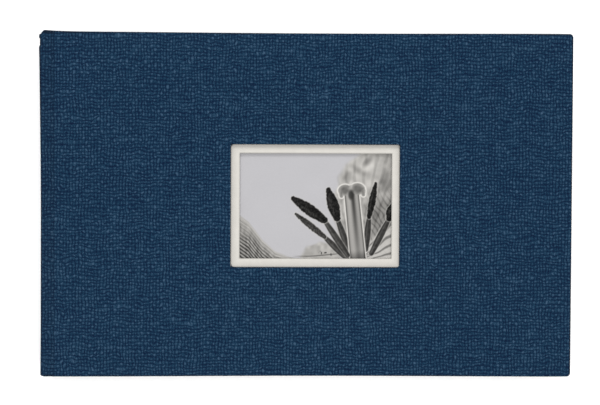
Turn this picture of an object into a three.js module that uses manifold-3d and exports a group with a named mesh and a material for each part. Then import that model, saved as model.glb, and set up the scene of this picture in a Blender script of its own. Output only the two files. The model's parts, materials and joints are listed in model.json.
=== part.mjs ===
// A small book-bound scrapbook album with a framed picture window in its front cover.
// It lies closed on its back cover: +X from spine to fore edge, +Y from tail to head, +Z up.
// The origin is at the middle of the underside. Millimetres.
import * as THREE from "three";
import { mergeVertices } from "three/addons/utils/BufferGeometryUtils.js";
import Module from "manifold-3d";

const wasm = await Module();
wasm.setup();

// Case: the two covers
const COVER_LENGTH = 170; // outside of the spine to the fore edge
const COVER_HEIGHT = 110; // tail to head
const CLOTH = 0.35;
const BOARD = 2.0;
const PASTEDOWN = 0.2;
const GLUE = 0.05; // film between two bonded layers
const FIT = 0.3; // clearance beside a piece that is laid into another
const TURN_IN = 15; // cloth folded over to the inside of a board
const SQUARE = 3; // how far a cover stands past the leaves
const CORNER_RADIUS = 1;

// Case: the joints and the spine
const JOINT_WIDTH = 5; // outside of the spine to the edge of a cover board
const JOINT_GROOVE = 0.6; // depth of the groove pressed into the joint
const JOINT_END = 0.05; // from the fold line to the joint cloth
const SPINE_BOARD = 1.6;
const SPINE_LINING = 0.2;
const SPINE_TURN_IN = 12;
const SPINE_END_GAP = 0.4; // from the album's outer face to the spine cloth
const HEAD_DROP = 1.25; // how much shorter the spine is than the covers at the head
const TAIL_DROP = 0.3;

// Picture window in the front cover
const WINDOW_LENGTH = 54;
const WINDOW_HEIGHT = 39.2;
const WINDOW_X = 2.9; // window centre from the album's centre
const WINDOW_Y = -0.4;
const WINDOW_FLAP = 6; // cloth folded through the window
const MAT = 1.1;
const MAT_BORDER_X = 2.65;
const MAT_BORDER_Y = 2.75;
const MAT_BEVEL = 0.3;
const MAT_FIT = 0.1;

// Cover print and its pocket
const PRINT = 0.25;
const PRINT_LENGTH = 60;
const PRINT_HEIGHT = 45;
const PRINT_PLAY = 0.2; // beside the print in its pocket
const POCKET_CARD = 0.3;
const POCKET_RIM = 4; // glued edge of the pocket
const POCKET_SHORT = 2; // how far the print stands past the pocket's mouth
const THUMB_RADIUS = 8;

// Leaf block
const LEAF_COUNT = 12;
const LEAF = 0.35;
const GLASSINE = 0.08;
const FLYLEAF = 0.2;
const LEAF_AIR = 0.26; // air between a leaf and the glassine sheet next to it
const FLYLEAF_AIR = 0.275; // air between a flyleaf and its leaf
const COVER_AIR = 0.25; // air between a flyleaf and what faces it
const BINDING = 0.9; // sewn folds and glue on the back of the leaf block
const FOLD_DEPTH = 0.35; // roundness of each sewn fold
const TURNING_LINE = 0.1; // from the sewn folds to the line that the leaves turn on
const ROOT_START = 3.2; // from that line to the free root of a leaf
const ROOT_END = 8; // from that line to the crease where a leaf reaches full thickness
const ROOT = 0.12; // thickness of the thinned root
const GLASSINE_SHORT = 0.5; // how much smaller a glassine sheet is than a leaf
const HEADBAND_RADIUS = 0.8;

// Places worked out from the sizes above
const SPINE_X = -COVER_LENGTH / 2;
const FORE_X = COVER_LENGTH / 2;
const HEAD_Y = COVER_HEIGHT / 2;
const BOARD_X = SPINE_X + JOINT_WIDTH;
const WRAP = CLOTH + GLUE; // a board's edge from the cloth's outside
const BOARD_IN = WRAP + BOARD; // depth of a board's inner face
const TURN_IN_OUT = BOARD_IN + GLUE; // depth of the turned-in cloth
const TURN_IN_IN = TURN_IN_OUT + CLOTH;
const PASTEDOWN_OUT = TURN_IN_IN + GLUE;
const COVER = PASTEDOWN_OUT + PASTEDOWN; // whole thickness of a cover
const PRINT_OUT = COVER + GLUE;
const POCKET_FLOOR = PRINT_OUT + PRINT + 2 * GLUE;
const POCKET_IN = POCKET_FLOOR + POCKET_CARD;

const LEAF_PITCH = LEAF + GLASSINE + 2 * LEAF_AIR;
const BACK_FLYLEAF_Z = COVER + COVER_AIR + FLYLEAF / 2;
const FIRST_LEAF_Z = BACK_FLYLEAF_Z + FLYLEAF / 2 + FLYLEAF_AIR + LEAF / 2;
const LAST_LEAF_Z = FIRST_LEAF_Z + (LEAF_COUNT - 1) * LEAF_PITCH;
const FRONT_FLYLEAF_Z = LAST_LEAF_Z + LEAF / 2 + FLYLEAF_AIR + FLYLEAF / 2;
const THICKNESS = FRONT_FLYLEAF_Z + FLYLEAF / 2 + COVER_AIR + GLUE + POCKET_IN;

const LEAF_FORE_X = FORE_X - SQUARE;
const LEAF_HEAD_Y = HEAD_Y - SQUARE;
const SPINE_BOARD_X = SPINE_X + WRAP;
const SPINE_TURN_IN_X = SPINE_BOARD_X + SPINE_BOARD + GLUE;
const LINING_X = SPINE_TURN_IN_X + CLOTH + GLUE;
const BINDING_X = LINING_X + SPINE_LINING + GLUE;
const TURNING_X = BINDING_X + BINDING + TURNING_LINE;

const COLOURS = {
  cloth: [0x1f3a54, 0.85],
  board: [0x8d8678, 0.9],
  endpaper: [0xe9e4da, 0.8],
  mat: [0xe2ddd6, 0.85],
  print: [0xb9b9bc, 0.35],
  leaf: [0xefe9dc, 0.85],
  glassine: [0xf3f1ea, 0.45],
  lining: [0xb79f78, 0.9],
  headband: [0xdfe3e8, 0.7],
};

// A rectangle in plan with rounded corners at its fore edge, between two heights.
function plate([x0, x1], [y0, y1], [z0, z1], radius = 0) {
  const shape = new THREE.Shape();
  shape.moveTo(x0, y0);
  if (radius > 0) {
    shape.lineTo(x1 - radius, y0);
    shape.absarc(x1 - radius, y0 + radius, radius, -Math.PI / 2, 0, false);
    shape.lineTo(x1, y1 - radius);
    shape.absarc(x1 - radius, y1 - radius, radius, 0, Math.PI / 2, false);
  } else {
    shape.lineTo(x1, y0);
    shape.lineTo(x1, y1);
  }
  shape.lineTo(x0, y1);
  const made = new THREE.ExtrudeGeometry(shape, {
    depth: z1 - z0,
    bevelEnabled: false,
    curveSegments: 4,
  });
  return made.translate(0, 0, z0);
}

// An outline of [x, z] points, drawn out along Y.
function along(points, [y0, y1]) {
  const shape = new THREE.Shape(points.map(([x, z]) => new THREE.Vector2(x, z)));
  const made = new THREE.ExtrudeGeometry(shape, { depth: y1 - y0, bevelEnabled: false });
  return made.rotateX(Math.PI / 2).translate(0, y1, 0);
}

function solid(geometry) {
  const bare = geometry.clone();
  bare.deleteAttribute("normal");
  bare.deleteAttribute("uv");
  const merged = mergeVertices(bare, 1e-4);
  return new wasm.Manifold(
    new wasm.Mesh({
      numProp: 3,
      vertProperties: merged.attributes.position.array,
      triVerts: new Uint32Array(merged.index.array),
    }),
  );
}

function geometryOf(body) {
  const mesh = body.getMesh();
  const made = new THREE.BufferGeometry();
  made.setAttribute("position", new THREE.BufferAttribute(mesh.vertProperties, mesh.numProp));
  made.setIndex(new THREE.BufferAttribute(mesh.triVerts, 1));
  const flat = made.toNonIndexed();
  flat.computeVertexNormals();
  return flat;
}

const cut = (body, ...tools) => tools.reduce((left, tool) => left.subtract(solid(tool)), body);

const album = new THREE.Group();

function add(name, geometry, [colour, roughness]) {
  const material = new THREE.MeshStandardMaterial({ color: colour, roughness, metalness: 0 });
  const mesh = new THREE.Mesh(geometry, material);
  mesh.name = name;
  album.add(mesh);
}

// The heights of a layer of a cover, given its depths from that cover's outer face.
const layerOf = {
  back: (outer, inner) => [outer, inner],
  front: (outer, inner) => [THICKNESS - inner, THICKNESS - outer],
};

// A rectangle around the window's centre that is grown by a margin.
function windowPlate(margin, heights, [borderX, borderY] = [0, 0]) {
  const halfX = WINDOW_LENGTH / 2 - borderX + margin;
  const halfY = WINDOW_HEIGHT / 2 - borderY + margin;
  return plate([WINDOW_X - halfX, WINDOW_X + halfX], [WINDOW_Y - halfY, WINDOW_Y + halfY], heights);
}

const whole = (inset) => [-HEAD_Y + inset, HEAD_Y - inset];

function boardSolid(layer) {
  return solid(
    plate([BOARD_X, FORE_X - WRAP], whole(WRAP), layer(WRAP, BOARD_IN), CORNER_RADIUS - WRAP),
  );
}

// Cloth over the outside of a board and folded over its head, tail and fore edge.
function clothSolid(layer) {
  const outside = solid(
    plate([BOARD_X, FORE_X], whole(0), layer(0, TURN_IN_IN), CORNER_RADIUS),
  );
  const boardRoom = plate(
    [BOARD_X - 1, FORE_X - CLOTH],
    whole(CLOTH),
    layer(CLOTH, TURN_IN_OUT),
    CORNER_RADIUS - CLOTH,
  );
  const cardRoom = plate(
    [BOARD_X - 1, FORE_X - TURN_IN],
    whole(TURN_IN),
    layer(TURN_IN_OUT - GLUE, TURN_IN_IN + 1),
  );
  return cut(outside, boardRoom, cardRoom);
}

// Card of the cloth's thickness that levels the inside of a cover between the turned-in edges.
function infillSolid(layer) {
  return solid(
    plate(
      [BOARD_X, FORE_X - TURN_IN - FIT],
      whole(TURN_IN + FIT),
      layer(TURN_IN_OUT, TURN_IN_IN),
    ),
  );
}

function pastedownSolid(layer) {
  return solid(plate([BOARD_X, LEAF_FORE_X], whole(SQUARE), layer(PASTEDOWN_OUT, COVER)));
}

// Cloth that bridges from a cover to the spine: flat over the spine's end, then pressed into a groove.
function jointCloth(layer) {
  const steps = 8;
  const start = LINING_X;
  const width = BOARD_X - GLUE - start;
  const edge = (depth) => [
    [SPINE_X + JOINT_END, depth],
    ...Array.from({ length: steps + 1 }, (_, i) => [
      start + (width * i) / steps,
      depth + JOINT_GROOVE * Math.sin((Math.PI * i) / steps) ** 2,
    ]),
  ];
  const outline = [...edge(0), ...edge(CLOTH).reverse()].map(([x, depth]) => [
    x,
    layer(depth, depth)[0],
  ]);
  return along(outline, whole(0));
}

function addCover(side) {
  const layer = layerOf[side];
  const parts = {
    board: boardSolid(layer),
    cloth: clothSolid(layer),
    infill: infillSolid(layer),
    pastedown: pastedownSolid(layer),
  };
  if (side === "front") cutWindow(parts, layer);
  add(`${side}_board`, geometryOf(parts.board), COLOURS.board);
  add(`${side}_cover_cloth`, geometryOf(parts.cloth), COLOURS.cloth);
  add(`${side}_joint_cloth`, jointCloth(layer), COLOURS.cloth);
  add(`${side}_infill_card`, geometryOf(parts.infill), COLOURS.board);
  add(`${side}_pastedown`, geometryOf(parts.pastedown), COLOURS.endpaper);
}

// Cuts the window through the layers of the front cover, and lines it with folded cloth.
function cutWindow(parts, layer) {
  const through = layer(-1, COVER + 1);
  parts.board = cut(parts.board, windowPlate(WRAP, through));
  const lining = solid(windowPlate(CLOTH, layer(CLOTH / 2, TURN_IN_IN)));
  const flaps = solid(windowPlate(WINDOW_FLAP, layer(TURN_IN_OUT, TURN_IN_IN)));
  parts.cloth = cut(parts.cloth.add(lining).add(flaps), windowPlate(0, through));
  parts.infill = cut(parts.infill, windowPlate(WINDOW_FLAP + FIT, through));
  parts.pastedown = cut(
    parts.pastedown,
    windowPlate(FIT, through, [MAT_BORDER_X, MAT_BORDER_Y]),
  );
}

// The mat is a flat frame of card with a small bevel round its opening.
function windowMat(layer) {
  const face = TURN_IN_IN - MAT;
  const border = [MAT_BORDER_X, MAT_BORDER_Y];
  const frame = solid(windowPlate(-MAT_FIT, layer(face, TURN_IN_IN)));
  const opened = cut(frame, windowPlate(0, layer(face - 1, TURN_IN_IN + 1), border));
  const [, top] = layer(face, TURN_IN_IN);
  const halfX = WINDOW_LENGTH / 2 - MAT_BORDER_X;
  const halfY = WINDOW_HEIGHT / 2 - MAT_BORDER_Y;
  const bevel = new THREE.BoxGeometry(2, 2, MAT_BEVEL);
  const corners = bevel.attributes.position;
  for (let i = 0; i < corners.count; i += 1) {
    const grown = corners.getZ(i) > 0 ? MAT_BEVEL : 0;
    corners.setX(i, corners.getX(i) * (halfX + grown));
    corners.setY(i, corners.getY(i) * (halfY + grown));
  }
  bevel.translate(WINDOW_X, WINDOW_Y, top - MAT_BEVEL / 2);
  return cut(opened, bevel);
}

// A patch pocket of card, glued on three sides and open to the head, with a thumb notch.
function photoPocket(layer) {
  const halfX = PRINT_LENGTH / 2 + PRINT_PLAY;
  const tail = WINDOW_Y - PRINT_HEIGHT / 2 - PRINT_PLAY;
  const mouth = WINDOW_Y + PRINT_HEIGHT / 2 - POCKET_SHORT;
  const outside = plate(
    [WINDOW_X - halfX - POCKET_RIM, WINDOW_X + halfX + POCKET_RIM],
    [tail - POCKET_RIM, mouth],
    layer(PRINT_OUT, POCKET_IN),
  );
  const room = plate(
    [WINDOW_X - halfX, WINDOW_X + halfX],
    [tail, mouth + 1],
    layer(PRINT_OUT - 1, POCKET_FLOOR),
  );
  const notch = new THREE.CylinderGeometry(THUMB_RADIUS, THUMB_RADIUS, 2 * POCKET_IN, 32);
  notch.rotateX(Math.PI / 2).translate(WINDOW_X, mouth, layer(POCKET_IN, POCKET_IN)[0]);
  return cut(solid(outside), room, notch);
}

function coverPrint(layer) {
  return plate(
    [WINDOW_X - PRINT_LENGTH / 2, WINDOW_X + PRINT_LENGTH / 2],
    [WINDOW_Y - PRINT_HEIGHT / 2, WINDOW_Y + PRINT_HEIGHT / 2],
    layer(PRINT_OUT + GLUE / 2, PRINT_OUT + GLUE / 2 + PRINT),
  );
}

function addSpine() {
  const foot = -HEAD_Y + TAIL_DROP;
  const head = HEAD_Y - HEAD_DROP;
  const heights = [SPINE_END_GAP, THICKNESS - SPINE_END_GAP];
  const outside = solid(plate([SPINE_X, LINING_X - GLUE], [foot, head], heights));
  const boardRoom = plate(
    [SPINE_X + CLOTH, SPINE_TURN_IN_X],
    [foot + CLOTH, head - CLOTH],
    [-1, THICKNESS + 1],
  );
  const middle = plate(
    [SPINE_TURN_IN_X - GLUE, LINING_X + 1],
    [foot + SPINE_TURN_IN, head - SPINE_TURN_IN],
    [-1, THICKNESS + 1],
  );
  add("spine_cloth", geometryOf(cut(outside, boardRoom, middle)), COLOURS.cloth);
  add(
    "spine_board",
    plate([SPINE_BOARD_X, SPINE_TURN_IN_X - GLUE], [foot + WRAP, head - WRAP], heights),
    COLOURS.board,
  );
  add(
    "spine_lining",
    plate([LINING_X, LINING_X + SPINE_LINING], [foot + WRAP, head - WRAP], [
      COVER,
      THICKNESS - COVER,
    ]),
    COLOURS.lining,
  );
}

// The back of the leaf block: one rounded sewn fold for each leaf and flyleaf.
function sewnSpine() {
  const folds = LEAF_COUNT + 2;
  const steps = 4;
  const low = BACK_FLYLEAF_Z - LEAF_PITCH / 4;
  const rise = (FRONT_FLYLEAF_Z + LEAF_PITCH / 4 - low) / folds;
  const front = BINDING_X + BINDING;
  const outline = [
    [BINDING_X, low],
    [front - FOLD_DEPTH, low],
  ];
  for (let fold = 0; fold < folds; fold += 1)
    for (let step = 1; step <= steps; step += 1)
      outline.push([
        front - FOLD_DEPTH + FOLD_DEPTH * Math.sin((Math.PI * step) / steps),
        low + rise * (fold + step / steps),
      ]);
  outline.push([BINDING_X, low + rise * folds]);
  return along(outline, [-LEAF_HEAD_Y, LEAF_HEAD_Y]);
}

// A rolled silk band at the head or tail of the leaf block's back.
function headband(end) {
  const height = FRONT_FLYLEAF_Z - BACK_FLYLEAF_Z;
  const band = new THREE.CylinderGeometry(HEADBAND_RADIUS, HEADBAND_RADIUS, height, 12);
  return band
    .rotateX(Math.PI / 2)
    .translate(
      LINING_X + SPINE_LINING + GLUE + HEADBAND_RADIUS,
      end * (LEAF_HEAD_Y + GLUE + HEADBAND_RADIUS),
      (FRONT_FLYLEAF_Z + BACK_FLYLEAF_Z) / 2,
    );
}

// A leaf with a thinned root, so that it can bend beside the spine.
function leafGeometry(z) {
  const start = TURNING_X + ROOT_START;
  const crease = TURNING_X + ROOT_END;
  return along(
    [
      [start, z - ROOT / 2],
      [crease - LEAF, z - ROOT / 2],
      [crease, z - LEAF / 2],
      [LEAF_FORE_X, z - LEAF / 2],
      [LEAF_FORE_X, z + LEAF / 2],
      [crease, z + LEAF / 2],
      [crease - LEAF, z + ROOT / 2],
      [start, z + ROOT / 2],
    ],
    [-LEAF_HEAD_Y, LEAF_HEAD_Y],
  );
}

function sheetGeometry(z, thickness, short) {
  return plate(
    [TURNING_X + ROOT_START, LEAF_FORE_X - short],
    [-LEAF_HEAD_Y + short, LEAF_HEAD_Y - short],
    [z - thickness / 2, z + thickness / 2],
  );
}

const number = (k) => String(k).padStart(2, "0");

addCover("back");
addSpine();
addCover("front");
add("window_mat", geometryOf(windowMat(layerOf.front)), COLOURS.mat);
add("photo_pocket", geometryOf(photoPocket(layerOf.front)), COLOURS.endpaper);
add("cover_print", coverPrint(layerOf.front), COLOURS.print);
add("sewn_spine", sewnSpine(), COLOURS.lining);
add("headband_head", headband(1), COLOURS.headband);
add("headband_tail", headband(-1), COLOURS.headband);
add("back_flyleaf", sheetGeometry(BACK_FLYLEAF_Z, FLYLEAF, 0), COLOURS.endpaper);
for (let k = 1; k <= LEAF_COUNT; k += 1) {
  const z = FIRST_LEAF_Z + (k - 1) * LEAF_PITCH;
  add(`leaf_${number(k)}`, leafGeometry(z), COLOURS.leaf);
  if (k < LEAF_COUNT)
    add(
      `glassine_${number(k)}`,
      sheetGeometry(z + LEAF_PITCH / 2, GLASSINE, GLASSINE_SHORT),
      COLOURS.glassine,
    );
}
add("front_flyleaf", sheetGeometry(FRONT_FLYLEAF_Z, FLYLEAF, 0), COLOURS.endpaper);

export default album;
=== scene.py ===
import json
import math

import bmesh
import bpy
import numpy as np
from mathutils import Matrix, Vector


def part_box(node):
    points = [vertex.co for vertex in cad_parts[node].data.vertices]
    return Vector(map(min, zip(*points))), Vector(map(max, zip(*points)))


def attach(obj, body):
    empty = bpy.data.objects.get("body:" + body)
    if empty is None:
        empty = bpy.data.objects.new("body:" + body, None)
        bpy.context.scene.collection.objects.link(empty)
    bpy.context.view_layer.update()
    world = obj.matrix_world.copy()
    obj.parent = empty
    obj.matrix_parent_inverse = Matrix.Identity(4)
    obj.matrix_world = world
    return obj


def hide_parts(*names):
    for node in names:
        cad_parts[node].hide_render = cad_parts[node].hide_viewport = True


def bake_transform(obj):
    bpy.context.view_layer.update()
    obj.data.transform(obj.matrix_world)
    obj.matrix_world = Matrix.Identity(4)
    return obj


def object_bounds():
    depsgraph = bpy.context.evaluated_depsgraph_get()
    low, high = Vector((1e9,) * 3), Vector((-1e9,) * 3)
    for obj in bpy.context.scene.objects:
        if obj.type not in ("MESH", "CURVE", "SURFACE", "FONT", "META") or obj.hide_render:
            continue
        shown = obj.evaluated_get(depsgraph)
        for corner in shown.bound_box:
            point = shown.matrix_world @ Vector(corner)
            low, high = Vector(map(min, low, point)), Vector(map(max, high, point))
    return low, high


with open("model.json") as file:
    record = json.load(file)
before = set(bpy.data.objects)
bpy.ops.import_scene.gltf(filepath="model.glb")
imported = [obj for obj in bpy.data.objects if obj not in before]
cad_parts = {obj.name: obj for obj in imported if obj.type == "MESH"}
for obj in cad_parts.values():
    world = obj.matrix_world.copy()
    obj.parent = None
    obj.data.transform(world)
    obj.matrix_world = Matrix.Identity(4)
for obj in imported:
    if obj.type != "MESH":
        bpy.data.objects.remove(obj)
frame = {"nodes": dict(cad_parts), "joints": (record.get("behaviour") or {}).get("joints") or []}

MM = 0.001
SAME_PLACE = 0.001 * MM
SEED = 41

CAD_BOX = [list(corner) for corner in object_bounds()]

# ---------------------------------------------------------------------------------------------
# Places from the frame
# ---------------------------------------------------------------------------------------------
(SPINE_X, TAIL_Y, _), (FORE_X, HEAD_Y, TOP) = CAD_BOX
MID_Y = (TAIL_Y + HEAD_Y) / 2


def lows_highs(node):
    low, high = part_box(node)
    return np.array(low), np.array(high)


def height_at(depth, front):
    """The height of a place this deep below the outer face of the front cover, or of the back one."""
    return TOP - depth if front else depth


BOARD_X = lows_highs("front_cover_cloth")[0][0]
COVER_WRAP = TOP - lows_highs("front_cover_cloth")[0][2]
GROOVE_X = lows_highs("spine_cloth")[1][0]
SPINE_LOW, SPINE_HIGH = lows_highs("spine_cloth")
WINDOW_LOW, WINDOW_HIGH = lows_highs("window_mat")
TURNS = {joint["child"]: joint for joint in frame["joints"] if joint["name"].endswith("_turn")}
TURN_X = TURNS["leaf_01"]["pos_m"][0]
LEAF_PITCH = lows_highs("leaf_02")[0][2] - lows_highs("leaf_01")[0][2]

# Cloth
CLOTH_THICKNESS = 0.3 * MM
CLOTH_STEP = 1.6 * MM
EDGE_ROUNDING = 0.45 * MM
HEM_ROUNDING = 0.35 * MM
HEM_FLAT = 0.1 * MM
ROUNDING_SHARE = 0.48  # the most of a fold's depth that one of its two roundings takes
CORNER_ROUNDING = 1.2 * MM
SPINE_ROUNDING = 0.6 * MM
HEM_DEPTH = 0.6 * MM
BOARD_MARGIN, BOARD_STEP = 0.35 * MM, 0.45 * MM  # where the fold deepens from the joint to the board
CAP_WIDTH = 1.25 * MM
NO_TURN_IN = 0.9 * MM  # the cloth isn't turned in this close to the spine
GROOVE_DEPTH = 0.55 * MM
GROOVE_SKEW = 1.15  # above 1, the deepest line of the groove is nearer the board
TURN_IN = 14 * MM
WINDOW_ROUNDING = 0.34 * MM
WINDOW_CLEARANCE = 0.05 * MM
WINDOW_HOLE = [
    WINDOW_LOW[:2] - np.array([0.3, 0.05]) * MM,
    WINDOW_HIGH[:2] + np.array([-0.1, 0.25]) * MM,
]
WINDOW_FLAP = 5.5 * MM
HEAD_WAIST = 0.24 * MM
TAIL_WAIST = 0.26 * MM
NIP_END = 6.2 * MM
NIP_ROWS = 18
SPINE_CAP = SPINE_HIGH[1] + 0.45 * MM
CAP_REACH = 1.2 * MM
HEAD_FLARE = 0.42 * MM
FLARE_START = SPINE_X + 2 * MM
FLARE_LENGTH = 4.5 * MM
SPINE_LINE = (  # below the head cap, and how far the spine stands in from straight there, both in mm
    (0.0, -0.2),
    (1.1, -0.36),
    (1.5, -0.02),
    (3.6, -0.02),
    (4.1, -0.3),
    (9, -0.2),
    (40, 0.19),
    (57, 0.27),
    (95, 0.22),
    (109, 0.1),
)
JOINT_DARKENING = 0.145
SPINE_TURN_IN = 12 * MM
SWELL = 0.022 * MM
SWELL_WAVES = (  # weight, share of the cross rate, rates along and up in radians a metre, phase
    (0.9, 0.4, 91, 37, 0.5),
    (0.7, 0.9, 47, 133, 2.1),
    (0.5, 0.6, 173, 71, 4.0),
    (0.35, 0.2, 211, 257, 1.2),
)

# Mat and print
MAT_BORDER = np.array([2.55, 2.65]) * MM
MAT_BEVEL = 0.3 * MM
MAT_EDGE = 0.12 * MM
MAT_OPENING_LOW = WINDOW_LOW[:2] + MAT_BORDER
MAT_OPENING_HIGH = WINDOW_HIGH[:2] - MAT_BORDER
PRINT_STEP = 0.17 * MM
PRINT_TONE = 0.815
PRINT_CUT_EDGE = 0.93
PRINT_COLD = np.array([0.985, 0.972, 1.01])
PRINT_WARM = np.array([1.0, 0.97, 0.92])

# ---------------------------------------------------------------------------------------------
# Mesh helpers
# ---------------------------------------------------------------------------------------------


def new_piece(name, points, faces, uv=None, smooth=True, crease=None):
    """A mesh object from points and faces. uv holds one place for each point, kept as the map named cloth.
    Edges sharper than the crease angle, in degrees, are shaded sharp."""
    mesh = bpy.data.meshes.new(name)
    mesh.from_pydata([tuple(p) for p in points], [], [tuple(f) for f in faces])
    if uv is not None:
        layer = mesh.uv_layers.new(name="cloth")
        corners = np.empty(len(mesh.loops), int)
        mesh.loops.foreach_get("vertex_index", corners)
        layer.data.foreach_set("uv", np.asarray(uv, np.float32)[corners].ravel())
    mesh.polygons.foreach_set("use_smooth", [smooth] * len(mesh.polygons))
    mesh.update()
    if crease:
        mesh.set_sharp_from_angle(angle=math.radians(crease))
    piece = bpy.data.objects.new(name, mesh)
    bpy.context.scene.collection.objects.link(piece)
    return piece


def outward(piece):
    """Turns the faces of a closed piece outwards."""
    work = bmesh.new()
    work.from_mesh(piece.data)
    bmesh.ops.remove_doubles(work, verts=work.verts, dist=SAME_PLACE)
    bmesh.ops.recalc_face_normals(work, faces=work.faces)
    work.to_mesh(piece.data)
    work.free()
    return piece


def weld(piece):
    work = bmesh.new()
    work.from_mesh(piece.data)
    bmesh.ops.remove_doubles(work, verts=work.verts, dist=SAME_PLACE)
    work.to_mesh(piece.data)
    work.free()


def finished(piece):
    """Bakes the modifiers into the piece's mesh."""
    graph = bpy.context.evaluated_depsgraph_get()
    mesh = bpy.data.meshes.new_from_object(piece.evaluated_get(graph), depsgraph=graph)
    piece.modifiers.clear()
    old, piece.data = piece.data, mesh
    bpy.data.meshes.remove(old)
    mesh.name = piece.name
    return piece


def thicken(piece, thickness):
    solidify = piece.modifiers.new("thickness", "SOLIDIFY")
    solidify.thickness = thickness
    solidify.offset = -1
    return finished(piece)


def grid_faces(rows, columns, start=0):
    """Quads of a grid of points that is stored row by row."""
    return [
        (
            start + r * columns + c,
            start + r * columns + c + 1,
            start + (r + 1) * columns + c + 1,
            start + (r + 1) * columns + c,
        )
        for r in range(rows - 1)
        for c in range(columns - 1)
    ]


def loop_faces(count, loops, closed=False):
    """Quads between loops of points that are stored one after another, and from the last to the first."""
    faces = []
    for r in range(loops if closed else loops - 1):
        here, after = r * count, (r + 1) % loops * count
        for c in range(count):
            d = (c + 1) % count
            faces.append((here + c, here + d, after + d, after + c))
    return faces


def ribbon(path, thickness, stops):
    """A closed strip: a line of points in one plane, given a thickness, and drawn out along the third
    direction through the stops. Points come back as line place, line place, stop."""
    path = np.asarray(path, float)
    along = np.gradient(path, axis=0)
    along /= np.linalg.norm(along, axis=1, keepdims=True)
    half = np.asarray(thickness) / 2 * np.ones(len(path))
    side = np.stack([-along[:, 1], along[:, 0]], 1) * half[:, None]
    loop = np.concatenate([path + side, (path - side)[::-1]])
    count, rows = len(loop), len(stops)
    points = np.empty((rows, count, 3))
    points[:, :, :2] = loop
    points[:, :, 2] = np.asarray(stops)[:, None]
    faces = loop_faces(count, rows)
    for r in (0, rows - 1):
        for c in range(len(path) - 1):
            far = count - 1 - c
            faces.append((r * count + c, r * count + c + 1, r * count + far - 1, r * count + far))
    return points.reshape(-1, 3), faces


def rounded_loop(low, high, radius, steps=5):
    """Points round a rectangle with round corners, anticlockwise."""
    turn = np.linspace(0, math.pi / 2, steps)
    corners = [
        (high[0] - radius, high[1] - radius, 0),
        (low[0] + radius, high[1] - radius, 1),
        (low[0] + radius, low[1] + radius, 2),
        (high[0] - radius, low[1] + radius, 3),
    ]
    points = []
    for x, y, quarter in corners:
        angle = turn + quarter * math.pi / 2
        points += list(np.stack([x + radius * np.cos(angle), y + radius * np.sin(angle)], 1))
    return np.array(points)


def curve_through(stops, count):
    """A smooth line through a few points, as evenly counted points."""
    stops = np.asarray(stops, float)
    ends = np.concatenate([[2 * stops[0] - stops[1]], stops, [2 * stops[-1] - stops[-2]]])
    line = []
    for place in np.linspace(0, len(stops) - 1 - 1e-9, count):
        k, t = int(place), place % 1
        a, b, c, d = ends[k : k + 4]
        square = 2 * a - 5 * b + 4 * c - d
        cube = 3 * b - a - 3 * c + d
        line.append(0.5 * (2 * b + (c - a) * t + square * t**2 + cube * t**3))
    return np.array(line)


def lattice_noise(x, y, size, seed):
    """Smooth noise from 0 to 1 with lumps of about this size. It repeats after 64 of them."""
    cells = 64
    values = np.random.default_rng(seed).random((cells, cells))
    u, v = np.asarray(x) / size, np.asarray(y) / size
    column, row = np.floor(u).astype(int), np.floor(v).astype(int)
    fu, fv = smooth_step(u - column), smooth_step(v - row)
    left, right = column % cells, (column + 1) % cells
    below, above = row % cells, (row + 1) % cells
    low = values[below, left] * (1 - fu) + values[below, right] * fu
    high = values[above, left] * (1 - fu) + values[above, right] * fu
    return low * (1 - fv) + high * fv


def smooth_step(value):
    clipped = np.clip(value, 0, 1)
    return clipped * clipped * (3 - 2 * clipped)


def rise(value, start, length):
    """0 up to the start, 1 from a length further on, and a smooth way between."""
    return smooth_step((value - start) / length)


def fall(value, start, length):
    return 1 - rise(value, start, length)


def spaced(stops, step):
    """Places from the first stop to the last, through all of them, about a step apart."""
    places = [stops[0]]
    for low, high in zip(stops, stops[1:]):
        count = max(1, round((high - low) / step))
        places += list(np.linspace(low, high, count + 1)[1:])
    return np.array(places)


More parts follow.
